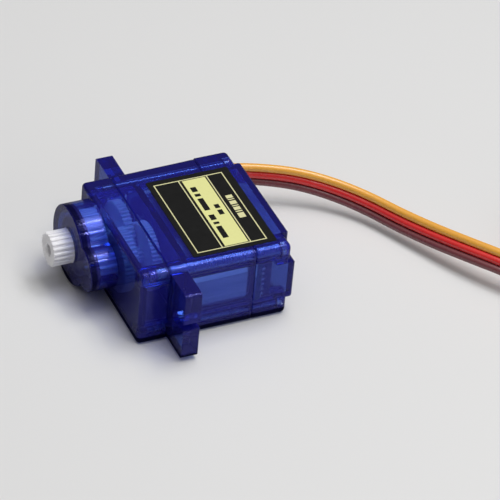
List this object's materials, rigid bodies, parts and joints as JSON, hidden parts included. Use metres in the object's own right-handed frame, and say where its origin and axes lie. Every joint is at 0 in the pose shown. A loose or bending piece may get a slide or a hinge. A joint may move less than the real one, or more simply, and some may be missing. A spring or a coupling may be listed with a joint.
{
  "type": "hobby servo motor",
  "caption": "Small hobby servo with a translucent blue case, slotted mounting ears, a splined output shaft turned by a gear train and motor, and a wire lead ending in a connector.",
  "frame": {"origin": "on the output shaft's axis, in the plane of the round boss's front face", "axes": "-Y along the output shaft, out of the servo; +X from the output shaft towards the motor end of the case; +Z out of the large side that carries the label, up while the servo lies on its other large side"},
  "size_m": [0.0482, 0.0959, 0.0123],
  "materials": {
    "case_plastic": "glossy translucent",
    "white_nylon": "satin",
    "steel": "satin",
    "brass": "satin",
    "copper": "satin",
    "bronze": "satin",
    "ferrite": "matte",
    "black_plastic": "satin",
    "green_board": "satin",
    "brown_board": "matte",
    "carbon": "matte",
    "ceramic": "matte",
    "solder": "satin",
    "label_film": "satin",
    "wire_orange": "satin",
    "wire_red": "satin",
    "wire_brown": "satin"
  },
  "bodies": {
    "case": {"top_case": "case_plastic", "middle_case": "case_plastic", "bottom_cover": "case_plastic", "case_screws": "steel", "label": "label_film", "idler_pin": "steel", "pot_body": "steel", "pot_backplate": "brown_board", "pot_track": "carbon", "pot_terminals": "solder", "pot_wires": "wire_red", "motor_can": "steel", "motor_end_cap": "black_plastic", "motor_bushes": "bronze", "motor_magnets": "ferrite", "motor_brushes": "copper", "motor_terminals": "brass", "circuit_board": "green_board", "control_chip": "black_plastic", "driver_chip": "black_plastic", "chip_leads": "solder", "capacitors": "ceramic", "resistors": "black_plastic", "solder_joints": "solder", "lead_wire_orange": "wire_orange", "lead_wire_red": "wire_red", "lead_wire_brown": "wire_brown", "tail_wire_orange": "wire_orange", "tail_wire_red": "wire_red", "tail_wire_brown": "wire_brown", "lead_coil": "wire_red", "connector_housing": "black_plastic", "terminal_orange": "brass", "terminal_red": "brass", "terminal_brown": "brass"},
    "output": {"output_gear": "white_nylon", "pot_shaft": "white_nylon", "pot_wiper": "brass"},
    "third_wheel": {"third_gear": "white_nylon"},
    "second_wheel": {"second_gear": "white_nylon"},
    "first_wheel": {"first_gear": "white_nylon"},
    "rotor": {"motor_pinion": "brass", "motor_shaft": "steel", "armature_core": "steel", "armature_windings": "copper", "commutator": "copper"}
  },
  "joints": [
    {"name": "motor_turn", "type": "hinge", "parent": "case", "child": "rotor", "pos_m": [0.01091, 0.015, 0], "axis": [0, -1, 0], "range_deg": [-21136, 21136]},
    {"name": "first_wheel_turn", "type": "hinge", "parent": "case", "child": "first_wheel", "pos_m": [0.0056, 0.009, 0], "axis": [0, -1, 0], "continuous": true},
    {"name": "second_wheel_turn", "type": "hinge", "parent": "case", "child": "second_wheel", "pos_m": [0, 0.007, 0], "axis": [0, -1, 0], "continuous": true},
    {"name": "third_wheel_turn", "type": "hinge", "parent": "case", "child": "third_wheel", "pos_m": [0.0056, 0.004, 0], "axis": [0, -1, 0], "continuous": true},
    {"name": "output_turn", "type": "hinge", "parent": "case", "child": "output", "pos_m": [0, 0.003, 0], "axis": [0, -1, 0], "range_deg": [-90, 90]}
  ],
  "couplings": [
    {"joint": "first_wheel_turn", "follows": "motor_turn", "ratio": -0.18},
    {"joint": "second_wheel_turn", "follows": "motor_turn", "ratio": 0.044},
    {"joint": "third_wheel_turn", "follows": "motor_turn", "ratio": -0.014667},
    {"joint": "output_turn", "follows": "motor_turn", "ratio": 0.0042581}
  ]
}
